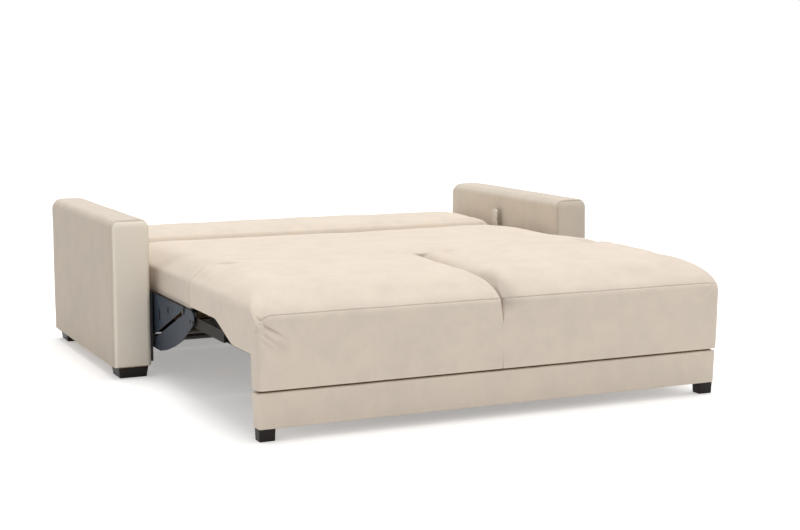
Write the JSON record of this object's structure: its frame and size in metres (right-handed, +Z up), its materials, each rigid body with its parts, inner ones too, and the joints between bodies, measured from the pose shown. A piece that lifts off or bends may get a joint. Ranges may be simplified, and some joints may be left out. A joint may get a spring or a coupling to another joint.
{
  "type": "sofa bed",
  "caption": "Two-arm sofa bed shown opened flat: pull-out seat, back section on slotted side plates and a head section that folds onto it.",
  "frame": {"origin": "on the floor, at the middle of the opened bed's outline", "axes": "+X across the sofa to the right as seen from the foot end, +Y from the foot end to the rear panel, +Z up"},
  "size_m": [2.0496, 2.125, 0.5998],
  "materials": {
    "cover": "soft napped cream cover cloth with faint cloudy shading",
    "cushion_cover": "the same cream cloth on the cushions, smoother and lighter where it faces up",
    "frame_wood": "planed softwood, untreated",
    "slat_wood": "bent beech slats and thin board, clear lacquer",
    "feet": "hardwood blocks stained almost black, satin",
    "plate_paint": "blue-grey powder coat, satin",
    "dark_steel": "dark grey powder coat",
    "bronze_steel": "dark bronze powder coat",
    "bright_steel": "zinc-plated steel",
    "nylon": "black moulded nylon",
    "webbing": "black elastic seat webbing"
  },
  "bodies": {
    "frame": {"left_arm_cover": "cover", "right_arm_cover": "cover", "left_arm_carcass": "frame_wood", "right_arm_carcass": "frame_wood", "arm_feet": "feet", "rear_panel_cover": "cover", "rear_panel_board": "frame_wood", "left_runner": "bright_steel", "right_runner": "bright_steel", "guide_posts": "nylon"},
    "carriage": {"left_side_plate": "plate_paint", "right_side_plate": "plate_paint", "front_cross_tube": "dark_steel", "middle_cross_tube": "bronze_steel", "rear_cross_tube": "dark_steel", "left_slide_rail": "bronze_steel", "right_slide_rail": "bronze_steel", "glide_shoes": "nylon", "slider_blocks": "nylon", "rail_bolts": "bright_steel"},
    "shaft": {"pivot_shaft": "bright_steel", "slot_bushes": "nylon", "shaft_clips": "bright_steel"},
    "back": {"back_pad": "cushion_cover", "back_frame": "frame_wood", "back_slats": "slat_wood", "back_base_board": "slat_wood", "pivot_brackets": "dark_steel", "back_hinge_leaves": "bright_steel", "back_hinge_bolts": "bright_steel", "head_hinge_pins": "bright_steel"},
    "head": {"head_pad": "cushion_cover", "head_frame": "frame_wood", "head_slats": "slat_wood", "head_base_board": "slat_wood", "head_hinge_leaves": "bright_steel", "head_hinge_bolts": "bright_steel"},
    "seat": {"left_seat_cushion": "cushion_cover", "right_seat_cushion": "cushion_cover", "left_seat_side": "cover", "right_seat_side": "cover", "seat_front_border": "cover", "seat_plinth": "cover", "seat_front_board": "frame_wood", "seat_frame": "frame_wood", "seat_webbing": "webbing", "left_seat_channel": "dark_steel", "right_seat_channel": "dark_steel", "seat_feet": "feet"}
  },
  "joints": [
    {"name": "seat_slide", "type": "slide", "parent": "frame", "child": "seat", "axis": [0, 1, 0], "range_m": [0, 1.085]},
    {"name": "carriage_slide", "type": "slide", "parent": "frame", "child": "carriage", "axis": [0, 1, 0], "range_m": [0, 0.8]},
    {"name": "shaft_slide", "type": "slide", "parent": "carriage", "child": "shaft", "axis": [0, 0.9301, -0.3674], "range_m": [0, 0.4301]},
    {"name": "back_tilt", "type": "hinge", "parent": "shaft", "child": "back", "pos_m": [0, -0.2695, 0.3], "axis": [1, 0, 0], "range_deg": [0, 75]},
    {"name": "head_fold", "type": "hinge", "parent": "back", "child": "head", "pos_m": [0, 0.5875, 0.496], "axis": [1, 0, 0], "range_deg": [0, 180]}
  ],
  "couplings": [
    {"joint": "carriage_slide", "follows": "seat_slide", "ratio": 0.73733},
    {"joint": "shaft_slide", "follows": "seat_slide", "ratio": 0.39638},
    {"joint": "back_tilt", "follows": "seat_slide", "rad_per_m": 1.2064}
  ]
}
